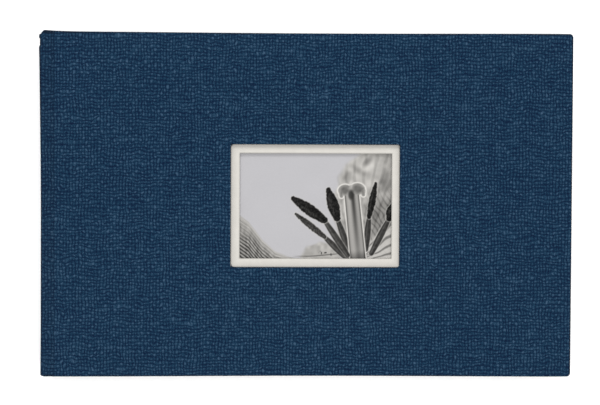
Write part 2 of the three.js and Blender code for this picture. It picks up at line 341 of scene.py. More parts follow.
# ---------------------------------------------------------------------------------------------
# Case cloth: two halves that meet along the middle of the spine
# ---------------------------------------------------------------------------------------------
class Section:
    """The cloth's outer line from the middle of the spine to the fore edge: x, and depth below the cover."""

    def __init__(self, cover_places):
        self.x, self.depth = self.outline(cover_places)
        along = np.gradient(np.stack([self.x, self.depth], 1), axis=0)
        along /= np.linalg.norm(along, axis=1, keepdims=True)
        self.inward = np.stack([-along[:, 1], along[:, 0]], 1)
        walked = np.cumsum(np.hypot(np.diff(self.x), np.diff(self.depth)))
        self.length = np.concatenate([[0], walked])
        on_board = rise(self.x, BOARD_X - BOARD_MARGIN, BOARD_STEP)
        self.wrap = HEM_DEPTH + (COVER_WRAP - HEM_DEPTH) * on_board
        from_spine = self.x - SPINE_X
        on_spine = np.clip((self.depth + CAP_WIDTH - from_spine) / MM, 0, 1)
        self.turned_in = TURN_IN * np.clip((from_spine - NO_TURN_IN) / MM, 0, 1)
        run = np.clip((self.x - BOARD_X) / (FORE_X - BOARD_X), 0, 1)
        waist = np.sin(math.pi * run) ** 2
        flare = HEAD_FLARE * np.minimum(np.exp((FLARE_START - self.x) / FLARE_LENGTH), 1)
        head_drop = HEAD_Y - SPINE_CAP
        tail_drop = SPINE_LOW[1] - TAIL_Y
        self.head = HEAD_Y + flare * (1 - on_spine) - head_drop * on_spine - HEAD_WAIST * waist
        self.tail = TAIL_Y + tail_drop * on_spine + TAIL_WAIST * waist

    @staticmethod
    def outline(cover_places):
        spine = np.linspace(TOP / 2, SPINE_ROUNDING * 1.2, 9)
        turn = np.linspace(0, math.pi / 2, 8)
        arc_x = SPINE_X + SPINE_ROUNDING * (1 - np.cos(turn))
        arc_depth = SPINE_ROUNDING * (1 - np.sin(turn))
        joint_start = SPINE_X + SPINE_ROUNDING
        joint = np.linspace(joint_start, BOARD_X, 23)[1:]
        share = (joint - joint_start) / (BOARD_X - joint_start)
        dip = GROOVE_DEPTH * np.sin(math.pi * share**GROOVE_SKEW) ** 2
        cover = cover_places[1:]
        x = np.concatenate([np.full(len(spine), SPINE_X), arc_x, joint, cover])
        depth = np.concatenate([spine, arc_depth, dip, np.zeros(len(cover))])
        return x, depth


def rim_profile(rim, depth, turned_in):
    """Steps over a folded edge: how far out, how deep, and how much cloth they take up."""
    top = min(EDGE_ROUNDING, ROUNDING_SHARE * depth, rim)
    low = min(HEM_ROUNDING, ROUNDING_SHARE * depth)
    flat = rim - low - HEM_FLAT
    turn = np.linspace(0, math.pi / 2, 5)
    out = [(rim - top) / 2, rim - top, *(rim - top + top * np.sin(turn[1:]))]
    down = [0, 0, *(top * (1 - np.cos(turn[1:])))]
    out += [rim, *(rim - low + low * np.cos(turn)), flat, flat - turned_in / 4, flat - turned_in]
    down += [depth / 2, *(depth - low + low * np.sin(turn)), depth, depth, depth]
    out, down = np.array([0.0, *out]), np.array([0.0, *down])
    used = np.concatenate([[0], np.cumsum(np.hypot(np.diff(out), np.diff(down)))])
    return out, down, used


def unevenness(x, y):
    """A slight swell of the board and cloth, under a tenth of a millimetre."""
    swell = 0
    for weight, cross, along, up, phase in SWELL_WAVES:
        swell = swell + weight * np.sin(along * x + up * y + phase) * np.cos(up * x * cross - along * y)
    return SWELL * swell


def spine_pinch(y):
    """How far the spine's cloth stands in from the joints: a slack waist, and a nip under the head cap."""
    below, pinch = np.array(SPINE_LINE).T * MM
    return np.interp(SPINE_CAP - y, below, pinch)


def cloth_lattice(hole):
    """The section and the rows of the cloth's points, with the window's sides among them."""
    x_stops = [BOARD_X, FORE_X - CORNER_ROUNDING]
    y_stops = [TAIL_Y + CORNER_ROUNDING, HEAD_Y - CORNER_ROUNDING]
    if hole:
        x_stops[1:1] = [hole[0][0], hole[1][0]]
        y_stops[1:1] = [hole[0][1], hole[1][1]]
    rows = spaced(y_stops, CLOTH_STEP)
    nip = HEAD_Y - NIP_END
    rows = np.concatenate([rows[rows < nip], np.linspace(nip, rows[-1], NIP_ROWS)])
    return Section(spaced(x_stops, CLOTH_STEP)), rows


def cloth_faces(section, rows, hole):
    """The quads between the cloth's points, apart from those in the window."""
    keep = np.ones((len(rows) - 1, len(section.x) - 1), bool)
    if hole:
        low, high = hole[0] - SAME_PLACE, hole[1] + SAME_PLACE
        inside_x = (section.x[:-1] > low[0]) & (section.x[1:] < high[0])
        inside_y = (rows[:-1] > low[1]) & (rows[1:] < high[1])
        keep[np.ix_(inside_y, inside_x)] = False
    faces = grid_faces(len(rows), len(section.x))
    return [face for face, kept in zip(faces, keep.ravel()) if kept]


def case_half(name, front):
    hole = None
    if front:
        edge = WINDOW_ROUNDING + WINDOW_CLEARANCE
        hole = [WINDOW_HOLE[0] - edge, WINDOW_HOLE[1] + edge]
    section, rows = cloth_lattice(hole)
    places, edge_path = case_surface(section, rows)
    faces = cloth_faces(section, rows, hole)
    points = places.reshape(-1, 3)
    across, up = np.meshgrid(section.length, rows)
    uv = np.stack([across, up], 2).reshape(-1, 2)
    paths = [edge_path] + ([window_path(section, rows, hole)] if hole else [])
    for path in paths:
        points, uv, faces = add_rim(points, uv, faces, path)
    x, y, depth = points.T
    x = x + spine_pinch(y) * fall(x, SPINE_X, CAP_REACH)
    if not front:
        faces = [face[::-1] for face in faces]
        uv = uv * np.array([-1, 1])
    piece = new_piece(name, np.stack([x, y, height_at(depth, front)], 1), faces, uv)
    mark_edge_shade(piece, x, y, depth)
    weld(piece)
    return thicken(piece, CLOTH_THICKNESS)


def mark_edge_shade(piece, x, y, depth):
    """Keeps how far the cloth is darkened, 0 to 1: painted shade where it rolls over its edges and at the
    head cap, and a slight darkening along the joint.
    """
    from_end = np.minimum(np.abs(y - TAIL_Y), np.abs(y - HEAD_Y))
    from_side = np.minimum(np.abs(x - SPINE_X), np.abs(x - FORE_X))
    over = np.clip(depth / (0.05 * MM), 0, 1) * fall(depth, 0.5 * MM, 0.9 * MM)
    near = fall(np.minimum(from_end, from_side), 0.3 * MM, 0.6 * MM)
    joint = rise(x, SPINE_X, 0.6 * MM) * fall(x, BOARD_X - 0.4 * MM, 0.5 * MM)
    cap = rise(y, SPINE_CAP - 4.3 * MM, 0.4 * MM) * fall(x, SPINE_X + 0.1 * MM, 0.4 * MM)
    creased = np.maximum.reduce([over * near, JOINT_DARKENING * joint, cap])
    fold = piece.data.attributes.new("fold", "FLOAT", "POINT")
    fold.data.foreach_set("value", creased.astype(np.float32))


def case_surface(section, rows):
    """The outer surface as x, y and depth, and the path that its folded edges follow."""
    reach = rows[-1] - MID_Y
    share = ((rows - MID_Y) / reach)[:, None]
    pull = np.abs(share) ** 8
    y = rows[:, None] + pull * np.where(share > 0, section.head - HEAD_Y, section.tail - TAIL_Y)
    x = section.x * np.ones_like(y)
    on_cover = smooth_step((section.x - BOARD_X) / (3 * MM))
    depth = section.depth + unevenness(x, y) * on_cover
    places = np.stack([x, y, depth * np.ones_like(y)], 2)

    count, last = len(section.x), len(rows) - 1
    normals = np.stack([section.inward[:, 0], np.zeros(count), section.inward[:, 1]], 1)
    fan = np.linspace(0, math.pi / 2, 6)
    path = [(last, c, (0, 1), section.wrap[c], (0, 1)) for c in range(count - 1)]
    path += [(last, count - 1, (math.sin(a), math.cos(a)), COVER_WRAP, (1, 1)) for a in fan]
    path += [(r, count - 1, (1, 0), COVER_WRAP, (1, 0)) for r in range(last - 1, 0, -1)]
    path += [(0, count - 1, (math.cos(a), -math.sin(a)), COVER_WRAP, (1, -1)) for a in fan]
    path += [(0, c, (0, -1), section.wrap[c], (0, -1)) for c in range(count - 2, -1, -1)]
    return places, {
        "index": [r * count + c for r, c, *_ in path],
        "out": np.array([out for _, _, out, _, _ in path]),
        "mitre": np.array([mitre for *_, mitre in path]),
        "wrap": np.array([wrap for _, _, _, wrap, _ in path]),
        "inward": np.array([normals[c] for _, c, *_ in path]),
        "rim": CORNER_ROUNDING,
        "turned_in": mitred(section, rows, path),
        "closed": False,
    }


def mitred(section, rows, path):
    """How much cloth is turned in at each place of the edge, cut back at 45 degrees to the two corners."""
    to_corner_x = section.x[-1] - section.x
    to_corner_y = np.minimum(rows - rows[0], rows[-1] - rows)
    over_the_corner = CORNER_ROUNDING - HEM_ROUNDING - HEM_FLAT
    kept = []
    for r, c, *_ in path:
        at_end = r in (0, len(rows) - 1)
        from_corner = to_corner_x[c] if at_end else to_corner_y[r]
        kept.append(min(section.turned_in[c], from_corner + over_the_corner))
    return np.array(kept)


def window_path(section, rows, hole):
    columns = len(section.x)
    c0, c1 = (int(np.argmin(np.abs(section.x - hole[k][0]))) for k in (0, 1))
    r0, r1 = (int(np.argmin(np.abs(rows - hole[k][1]))) for k in (0, 1))
    path = [(r0, c, (0, 1)) for c in range(c1 - 1, c0, -1)]
    path = [(r0, c1, (-1, 1))] + path + [(r0, c0, (1, 1))]
    path += [(r, c0, (1, 0)) for r in range(r0 + 1, r1)] + [(r1, c0, (1, -1))]
    path += [(r1, c, (0, -1)) for c in range(c0 + 1, c1)] + [(r1, c1, (-1, -1))]
    path += [(r, c1, (-1, 0)) for r in range(r1 - 1, r0, -1)]
    path = path[::-1]
    out = np.array([w for _, _, w in path])
    return {
        "index": [r * columns + c for r, c, _ in path],
        "out": out,
        "mitre": out,
        "wrap": np.full(len(path), COVER_WRAP),
        "inward": np.tile([0, 0, 1.0], (len(path), 1)),
        "rim": WINDOW_ROUNDING,
        "turned_in": np.full(len(path), WINDOW_FLAP),
        "closed": True,
    }


def add_rim(points, uv, faces, path):
    """Folds the cloth over an edge: rings of points from the surface's border to the turned-in end."""
    index = np.array(path["index"])
    base, base_uv = points[index], uv[index]
    profiles = [rim_profile(path["rim"], wrap, fold) for wrap, fold in zip(path["wrap"], path["turned_in"])]
    out, down, used = (np.array([p[k] for p in profiles]) for k in range(3))
    rings = [index]
    for k in range(1, out.shape[1]):
        side = np.where(out[:, k : k + 1] < 0, path["mitre"], path["out"]) * out[:, k : k + 1]
        step = np.concatenate([side, np.zeros((len(index), 1))], 1)
        ring = base + step + down[:, k : k + 1] * path["inward"]
        rings.append(np.arange(len(points), len(points) + len(index)))
        points = np.concatenate([points, ring])
        uv = np.concatenate([uv, base_uv + path["out"] * used[:, k : k + 1]])
    count = len(index)
    for inner, outer in zip(rings, rings[1:]):
        for a in range(count if path["closed"] else count - 1):
            b = (a + 1) % count
            face = [inner[a], inner[b], outer[b], outer[a]]
            faces.append(tuple(dict.fromkeys(int(v) for v in face)))
    return points, uv, faces


# ---------------------------------------------------------------------------------------------
# Lights, floor and camera
# ---------------------------------------------------------------------------------------------
SKY = 0.5
LIT_FLOOR = 0.14  # the floor glows a little, as a light table does
HEAD_POWER = 16
OVERHEAD_POWER = 30
CAMERA_DISTANCE = 0.9
CAMERA_LENS = 169.22
CAMERA_TILT = (math.radians(2.378), math.radians(3.089))  # towards the spine, towards the head
CAMERA_ROLL = math.radians(0.2835)
CAMERA_TARGET = (-2.225 * MM, 0.866 * MM)


def add_camera():
    tilt_x, tilt_y = CAMERA_TILT
    back = np.array(
        [-math.sin(tilt_x) * math.cos(tilt_y), math.sin(tilt_y), math.cos(tilt_x) * math.cos(tilt_y)]
    )
    right = np.cross([0, 1, 0], back)
    right /= np.linalg.norm(right)
    up = np.cross(back, right)
    turned_right = math.cos(CAMERA_ROLL) * right + math.sin(CAMERA_ROLL) * up
    turned_up = math.cos(CAMERA_ROLL) * up - math.sin(CAMERA_ROLL) * right
    place = np.array([*CAMERA_TARGET, TOP]) + CAMERA_DISTANCE * back
    camera = bpy.data.objects.new("camera", bpy.data.cameras.new("camera"))
    camera.data.lens = CAMERA_LENS
    camera.data.sensor_width = 36
    camera.data.clip_start, camera.data.clip_end = 0.05, 20
    matrix = np.eye(4)
    matrix[:3, 0], matrix[:3, 1], matrix[:3, 2], matrix[:3, 3] = turned_right, turned_up, back, place
    camera.matrix_world = Matrix(matrix.tolist())
    bpy.context.scene.collection.objects.link(camera)
    bpy.context.scene.camera = camera


def add_light(name, place, aim, size, power):
    light = bpy.data.objects.new(name, bpy.data.lights.new(name, "AREA"))
    light.data.shape = "RECTANGLE"
    light.data.size, light.data.size_y = size
    light.data.energy = power
    back = np.array(place, float) - np.array(aim, float)
    back /= np.linalg.norm(back)
    right = np.cross([0, 1, 0.01], back)
    right /= np.linalg.norm(right)
    matrix = np.eye(4)
    matrix[:3, 0], matrix[:3, 1], matrix[:3, 2], matrix[:3, 3] = right, np.cross(back, right), back, place
    light.matrix_world = Matrix(matrix.tolist())
    light.visible_camera = False
    bpy.context.scene.collection.objects.link(light)


def add_studio():
    half, level = 3, -0.2 * MM
    corners = [(-half, -half, level), (half, -half, level), (half, half, level), (-half, half, level)]
    floor = new_piece("floor", corners, [(0, 1, 2, 3)], smooth=False)
    floor.data.materials.append(floor_material())
    world = bpy.data.worlds.new("studio")
    world.use_nodes = True
    world.node_tree.nodes["Background"].inputs["Color"].default_value = (1, 1, 1, 1)
    world.node_tree.nodes["Background"].inputs["Strength"].default_value = SKY
    bpy.context.scene.world = world
    bpy.context.scene.view_settings.view_transform = "Standard"
    add_light("head_softbox", (-0.15, 1.15, 1.3), (0, 0, 0), (1.0, 0.6), HEAD_POWER)
    add_light("overhead_softbox", (0.1, -0.1, 1.9), (0, 0, 0), (1.8, 1.4), OVERHEAD_POWER)


# ---------------------------------------------------------------------------------------------
# Materials
# ---------------------------------------------------------------------------------------------
def linear(*screen):
    """Screen colour, 0 to 255, as the linear opaque colour that a shader takes."""
    curve_start = 10.3
    levels = [((c / 255 + 0.055) / 1.055) ** 2.4 if c > curve_start else c / 255 / 12.92 for c in screen]
    return (*levels, 1)


def darkened(colour, share):
    return (*[level * share for level in colour[:3]], 1)


class Wiring:
    """Places and joins the nodes of one material or group."""

    def __init__(self, tree):
        self.tree = tree

    def node(self, kind, inputs=None, **settings):
        node = self.tree.nodes.new(kind)
        for key, value in settings.items():
            setattr(node, key, value)
        for key, value in (inputs or {}).items():
            self.feed(node.inputs[key], value)
        return node

    def feed(self, socket, value):
        if isinstance(value, bpy.types.NodeSocket):
            self.tree.links.new(value, socket)
        else:
            socket.default_value = value

    def math(self, operation, *values, clamp=False):
        inputs = dict(enumerate(values))
        return self.node("ShaderNodeMath", inputs, operation=operation, use_clamp=clamp).outputs[0]

    def total(self, *values):
        result = values[0]
        for value in values[1:]:
            result = self.math("ADD", result, value)
        return result

    def product(self, *values):
        result = values[0]
        for value in values[1:]:
            result = self.math("MULTIPLY", result, value)
        return result

    def share(self, value, low, high):
        """Value from low to high as 0 to 1, clamped."""
        inputs = {0: value, 1: low, 2: high}
        return self.node("ShaderNodeMapRange", inputs, clamp=True).outputs[0]

    def mix(self, factor, a, b):
        return self.node("ShaderNodeMix", {0: factor, 6: a, 7: b}, data_type="RGBA").outputs[2]

    def noise(self, place, scale, detail=2.0, roughness=0.5, distortion=0.0):
        inputs = {
            "Vector": place,
            "Scale": scale,
            "Detail": detail,
            "Roughness": roughness,
            "Distortion": distortion,
        }
        return self.node("ShaderNodeTexNoise", inputs).outputs[0]

    def ramp(self, value, *stops):
        node = self.node("ShaderNodeValToRGB", {0: value})
        line = node.color_ramp
        while len(line.elements) < len(stops):
            line.elements.new(0.5)
        for element, (place, colour) in zip(line.elements, stops):
            element.position = place
            element.color = colour
        return node.outputs[0]

    def vector(self, x=0.0, y=0.0, z=0.0):
        return self.node("ShaderNodeCombineXYZ", {0: x, 1: y, 2: z}).outputs[0]

    def split(self, vector):
        return self.node("ShaderNodeSeparateXYZ", {0: vector}).outputs

    def object_place(self):
        return self.node("ShaderNodeTexCoord").outputs["Object"]

    def group(self, tree, **inputs):
        named = {name.replace("_", " "): value for name, value in inputs.items()}
        return self.node("ShaderNodeGroup", named_group_inputs(tree, named), node_tree=tree).outputs

    def bump(self, height, depth, strength=1.0):
        inputs = {"Height": height, "Distance": depth, "Strength": strength}
        return self.node("ShaderNodeBump", inputs).outputs[0]


def named_group_inputs(tree, named):
    """Input names of a group as places in its list, because a group node is filled before it is shown."""
    order = [item.name for item in tree.interface.items_tree if item.in_out == "INPUT"]
    return {order.index(name): value for name, value in named.items()}


def new_group(name, inputs, outputs):
    tree = bpy.data.node_groups.new(name, "ShaderNodeTree")
    for socket, kind in inputs.items():
        tree.interface.new_socket(socket, in_out="INPUT", socket_type=kind)
    for socket in outputs:
        tree.interface.new_socket(socket, in_out="OUTPUT", socket_type="NodeSocketFloat")
    wiring = Wiring(tree)
    return tree, wiring, wiring.node("NodeGroupInput").outputs, wiring.node("NodeGroupOutput").inputs


def weave_group():
    """Plain weave: threads over and under each other, each with its own thickness, that wander a little.
    Light says how bright a thread looks: its own tone and fibres, with painted light on the crowns that
    stand up and painted shade in the hollows. Height says how far it stands up."""
    inputs = {"Place": "NodeSocketVector"}
    for name in ("Warp Spacing", "Weft Spacing", "Wander", "Slubs"):
        inputs[name] = "NodeSocketFloat"
    tree, w, given, made = new_group("plain_weave", inputs, ("Height", "Light"))
    place, warp_spacing, weft_spacing, wander, slubs = (given[k] for k in range(5))
    x, y, _ = w.split(place)
    elsewhere = w.node("ShaderNodeVectorMath", {0: place, 1: (3.7, 1.9, 5.3)}, operation="ADD").outputs[0]

    def sway(where):
        return w.total(w.noise(where, 130, 1), w.product(w.noise(where, 560, 1), 0.6), -0.8)

    sway_x, sway_y = sway(place), sway(elsewhere)
    across = w.total(w.math("DIVIDE", x, warp_spacing), w.product(sway_x, wander))
    up = w.total(w.math("DIVIDE", y, weft_spacing), w.product(sway_y, wander, 1.5))
    column, row = w.math("FLOOR", across), w.math("FLOOR", up)
    arch_column = w.math("SINE", w.product(w.math("FRACT", across), math.pi))
    arch_row = w.math("SINE", w.product(w.math("FRACT", up), math.pi))
    over = w.math("FLOORED_MODULO", w.total(column, row), 2.0)
    under = w.math("SUBTRACT", 1.0, over)
    patch = w.share(w.noise(place, 210, 2, 0.6), 0.38, 0.62)
    other = w.math("SUBTRACT", 1.0, patch)
    crossing = w.node("ShaderNodeTexWhiteNoise", {"Vector": w.vector(column, row)}).outputs["Value"]
    body = w.total(0.8, w.product(crossing, 0.45))
    round_column, round_row = (w.math("POWER", arch, 1.4) for arch in (arch_column, arch_row))
    warp_on_top = w.product(round_column, w.total(0.1, w.product(0.9, arch_row)), under)
    weft_on_top = w.product(round_row, w.total(0.1, w.product(0.9, arch_column)), over)
    warp_beneath = w.product(arch_column, over, w.total(0.12, w.product(other, 0.5)))
    weft_beneath = w.product(arch_row, under, w.total(0.12, w.product(patch, 0.5)))
    warp_body = w.total(0.5, w.product(other, 0.35))
    top = w.total(w.product(warp_on_top, warp_body), w.product(weft_on_top, body))
    height = w.math("MAXIMUM", top, w.math("MAXIMUM", warp_beneath, weft_beneath))
    warp_tone = w.noise(w.vector(w.product(column, 5.17), w.product(y, 260)), 1.0, 2)
    weft_tone = w.noise(w.vector(w.product(x, 220), w.product(row, 6.31), 8.0), 1.0, 2)
    slub = w.math("MAXIMUM", w.share(warp_tone, 0.56, 0.76), w.share(weft_tone, 0.54, 0.74))
    fibre = w.total(w.noise(place, 3800, 1, 0.7), -0.5)
    tone = w.total(w.product(w.total(warp_tone, weft_tone, -1.0), 0.5), w.product(slub, 0.35))
    w.feed(made[0], w.total(height, w.product(slub, slubs, 0.5)))
    # Painted light and shade: the thread's height brightens its crowns and darkens its hollows, on top of
    # its own tone and fibres.
    w.feed(made[1], w.total(w.product(height, 0.8), w.product(tone, slubs), w.product(fibre, 1.7)))
    return tree


def fibre_group():
    """Paper and board: short fibres, and the soft clouds that show in the sheet."""
    inputs = {"Place": "NodeSocketVector", "Fibre": "NodeSocketFloat"}
    tree, w, given, made = new_group("paper_fibre", inputs, ("Fibres", "Clouds", "Height"))
    place, fibre = given[0], given[1]
    close = w.math("DIVIDE", 4.0, fibre)
    wide = w.math("DIVIDE", 0.3, fibre)
    threads = w.noise(place, close, 4, 0.6, 2.2)
    clouds = w.noise(place, wide, 3, 0.55)
    w.feed(made[0], w.share(threads, 0.56, 0.72))
    w.feed(made[1], w.share(clouds, 0.3, 0.7))
    w.feed(made[2], w.total(w.product(threads, 0.7), w.product(clouds, 0.3)))
    return tree


WEAVE = weave_group()
FIBRE = fibre_group()
WARP_SPACING = 0.99 * MM
WEFT_SPACING = 1.13 * MM
THREAD_RELIEF = 0.1 * MM
CLOTH_DARK = linear(0, 14, 41)
CLOTH_PLAIN = linear(12, 44, 66)
CLOTH_LIGHT = linear(52, 74, 96)
# Colour of the painted shade at the cloth's rolled edges and head cap, also used for the slight darkening
# along the joint.
CLOTH_EDGE_SHADE = linear(8, 18, 32)
FOLD_SHADE = 0.85


def new_material(name, roughness, specular):
    material = bpy.data.materials.new(name)
    material.use_nodes = True
    shader = material.node_tree.nodes["Principled BSDF"]
    shader.inputs["Roughness"].default_value = roughness
    shader.inputs["Specular IOR Level"].default_value = specular
    return material, Wiring(material.node_tree), shader.inputs


def paper_material(
    name, screen, fleck, fibre=1.2 * MM, mottle=0.03, flecks=0.15, relief=0.02 * MM, rough=0.85, recess_shade=0.0
):
    """Paper or board in one colour, with clouds, fibres and flecks; where a shade strength is given, painted
    shade from the piece's point attribute darkens it.
    """
    material, w, shader = new_material(name, rough, 0.25)
    paper = w.group(FIBRE, Place=w.object_place(), Fibre=fibre)
    plain, fleck = linear(*screen), linear(*fleck)
    clouded = w.mix(paper["Clouds"], darkened(plain, 1 - 2 * mottle), plain)
    colour = w.mix(w.product(paper["Fibres"], flecks), clouded, fleck)
    # Painted shade: darker where the piece's attribute says it lies deep in a recess.
    if recess_shade:
        rim = w.node("ShaderNodeAttribute", attribute_name="recess_shade").outputs["Fac"]
        colour = w.mix(w.product(rim, recess_shade), colour, darkened(fleck, 0.5))
    w.feed(shader["Base Color"], colour)
    w.feed(shader["Normal"], w.bump(paper["Height"], relief))
    return material


def cloth_material():
    material, w, shader = new_material("book_cloth", 0.88, 0.1)
    place = w.node("ShaderNodeUVMap", uv_map="cloth").outputs[0]
    spacing = {"Warp_Spacing": WARP_SPACING, "Weft_Spacing": WEFT_SPACING}
    weave = w.group(WEAVE, Place=place, Wander=1.45, Slubs=0.45, **spacing)
    cloud = w.noise(place, 14, 3)
    light = w.total(weave["Light"], w.product(w.total(cloud, -0.5), 0.1))
    # The dark and light ends of the ramp carry painted shade in the weave's hollows and painted light on its
    # crowns, together with the threads' own tone.
    colour = w.ramp(light, (0.0, CLOTH_DARK), (0.42, CLOTH_PLAIN), (1.0, CLOTH_LIGHT))
    # Painted shade at the cloth's rolled edges and head cap, and a slight darkening along the joint, from
    # the fold attribute.
    edge = w.node("ShaderNodeAttribute", attribute_name="fold").outputs["Fac"]
    colour = w.mix(w.product(edge, FOLD_SHADE), colour, CLOTH_EDGE_SHADE)
    w.feed(shader["Base Color"], colour)
    w.feed(shader["Normal"], w.bump(weave["Height"], THREAD_RELIEF, 0.7))
    shader["Sheen Weight"].default_value = 0.03
    shader["Sheen Roughness"].default_value = 0.5
    return material


def endpaper_material():
    """Endpaper pasted over the turned-in cloth, whose edge shows through as a faint step."""
    step_width = 1.2 * MM
    material, w, shader = new_material("endpaper", 0.8, 0.25)
    place = w.object_place()
    paper = w.group(FIBRE, Place=place, Fibre=1.6 * MM)
    x, y, _ = w.split(place)
    fore = w.share(x, FORE_X - TURN_IN - step_width, FORE_X - TURN_IN)
    end = w.share(w.math("ABSOLUTE", y), HEAD_Y - TURN_IN - step_width, HEAD_Y - TURN_IN)
    step = w.math("MAXIMUM", fore, end)
    plain, fleck = linear(199, 192, 177), linear(176, 167, 148)
    colour = w.mix(paper["Clouds"], darkened(plain, 0.95), plain)
    w.feed(shader["Base Color"], w.mix(w.product(paper["Fibres"], 0.1), colour, fleck))
    w.feed(shader["Normal"], w.bump(w.total(w.product(paper["Height"], 0.25), step), 0.08 * MM))
    return material


def glassine_material():
    """Thin glazed paper with a pressed web of fine lines."""
    material, w, shader = new_material("glassine", 0.34, 0.5)
    place = w.object_place()
    x, y, _ = w.split(place)
    flat = w.vector(x, y)
    sway = w.product(w.noise(flat, 160, 2), 3 * MM)
    bent = w.node("ShaderNodeVectorMath", {0: flat, 1: sway}, operation="ADD").outputs[0]
    cell_inputs = {"Vector": bent, "Scale": 200}
    cells = w.node("ShaderNodeTexVoronoi", cell_inputs, feature="DISTANCE_TO_EDGE").outputs[0]
    web = w.math("SUBTRACT", 1.0, w.share(cells, 0.0, 0.09))
    milky = w.noise(place, 300, 4)
    w.feed(shader["Base Color"], w.mix(web, linear(200, 200, 194), linear(209, 209, 204)))
    w.feed(shader["Alpha"], w.total(0.64, w.product(web, 0.08), w.product(milky, 0.12)))
    w.feed(shader["Normal"], w.bump(web, 0.05 * MM))
    return material


def binding_material():
    """Folded sections glued side by side, seen on the back and the ends of the leaf block."""
    material, w, shader = new_material("glued_folds", 0.7, 0.3)
    place = w.object_place()
    paper = w.group(FIBRE, Place=place, Fibre=0.8 * MM)
    _, y, z = w.split(place)
    ridge = w.math("ABSOLUTE", w.math("SINE", w.product(z, math.pi / LEAF_PITCH)))
    glue = w.share(w.noise(w.vector(0.0, w.product(y, 60), w.product(z, 200)), 1.0, 3), 0.45, 0.7)
    # Painted shade where the folded sections meet and painted light on their rounded backs.
    folds = w.mix(ridge, linear(150, 136, 112), linear(226, 219, 203))
    w.feed(shader["Base Color"], w.mix(w.product(glue, 0.45), folds, linear(196, 170, 120)))
    w.feed(shader["Roughness"], w.total(0.75, w.product(glue, -0.35)))
    w.feed(shader["Normal"], w.bump(w.total(ridge, w.product(paper["Height"], 0.2)), 0.2 * MM))
    return material


def print_material():
    material, w, shader = new_material("photographic_print", 0.6, 0.04)
    place = w.object_place()
    tone = w.node("ShaderNodeAttribute", attribute_name="picture").outputs["Color"]
    grain = w.noise(place, 2600, 2, 0.7)
    w.feed(shader["Base Color"], w.mix(w.product(grain, 0.08), tone, (0, 0, 0, 1)))
    w.feed(shader["Roughness"], w.total(0.46, w.product(w.noise(place, 90, 2), 0.1)))
    w.feed(shader["Normal"], w.bump(w.noise(place, 900, 3), 0.01 * MM))
    return material


def headband_material():
    material, w, shader = new_material("silk_thread", 0.45, 0.5)
    colour_of_turn = w.node("ShaderNodeAttribute", attribute_name="turn_colour").outputs["Fac"]
    place = w.object_place()
    strand = w.noise(place, 4200, 2)
    pale = w.mix(strand, linear(196, 203, 213), linear(238, 240, 242))
    dark = w.mix(strand, linear(28, 52, 82), linear(52, 84, 120))
    w.feed(shader["Base Color"], w.mix(colour_of_turn, pale, dark))
    w.feed(shader["Normal"], w.bump(strand, 0.03 * MM))
    shader["Sheen Weight"].default_value = 0.25
    return material


def floor_material():
    material, w, shader = new_material("pale_floor", 0.9, 0.1)
    speck = w.noise(w.object_place(), 40, 3)
    w.feed(shader["Base Color"], w.mix(speck, (0.93, 0.93, 0.93, 1), (0.95, 0.95, 0.95, 1)))
    shader["Emission Color"].default_value = (1, 1, 1, 1)
    shader["Emission Strength"].default_value = LIT_FLOOR
    return material


# ---------------------------------------------------------------------------------------------
# Window: mat, cloth gussets and print
# ---------------------------------------------------------------------------------------------
def window_mat():
    """Cut card frame, bevelled round the opening, that lies in the window, with painted shade towards its
    outer edge.
    """
    low, high = WINDOW_LOW.copy(), WINDOW_HIGH.copy()
    low[:2], high[:2] = WINDOW_HOLE
    border_low, border_high = MAT_OPENING_LOW - low[:2], high[:2] - MAT_OPENING_HIGH
    wide = border_low[0]
    turn = np.linspace(0, math.pi / 2, 4)
    profile = [(0, low[2], 0.15 * MM)]
    for angle in turn:
        drop = MAT_EDGE * (1 - math.sin(angle))
        profile.append((MAT_EDGE * (1 - math.cos(angle)) / wide, high[2] - drop, 0.15 * MM))
    profile += [(share, high[2], 0.2 * MM) for share in (0.15, 0.3, 0.5, 0.7, 1 - MAT_BEVEL / wide)]
    profile += [(1, high[2] - MAT_BEVEL, 0.12 * MM), (1, low[2], 0.12 * MM), (0.5, low[2], 0.2 * MM)]
    points = []
    for share, height, radius in profile:
        loop = rounded_loop(low[:2] + border_low * share, high[:2] - border_high * share, radius)
        points += [(x, y, height) for x, y in loop]
    faces = loop_faces(len(loop), len(profile), closed=True)
    piece = outward(new_piece("cut_mat", points, faces))
    piece.data.set_sharp_from_angle(angle=math.radians(28))
    # Painted shade cast by the window's cloth walls: strongest at the mat's outer edge, gone at the opening.
    recess_shade = piece.data.attributes.new("recess_shade", "FLOAT", "POINT")
    darker = np.repeat([(1 - share) ** 1.5 for share, *_ in profile], len(loop))
    recess_shade.data.foreach_set("value", darker.astype(np.float32))
    look = {"fibre": 0.9 * MM, "flecks": 0.2, "relief": 0.03 * MM, "recess_shade": 0.3}
    card = paper_material("mat_card", (191, 188, 182), (180, 174, 164), **look)
    piece.data.materials.append(card)
    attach(piece, "front_cover")
    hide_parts("window_mat")


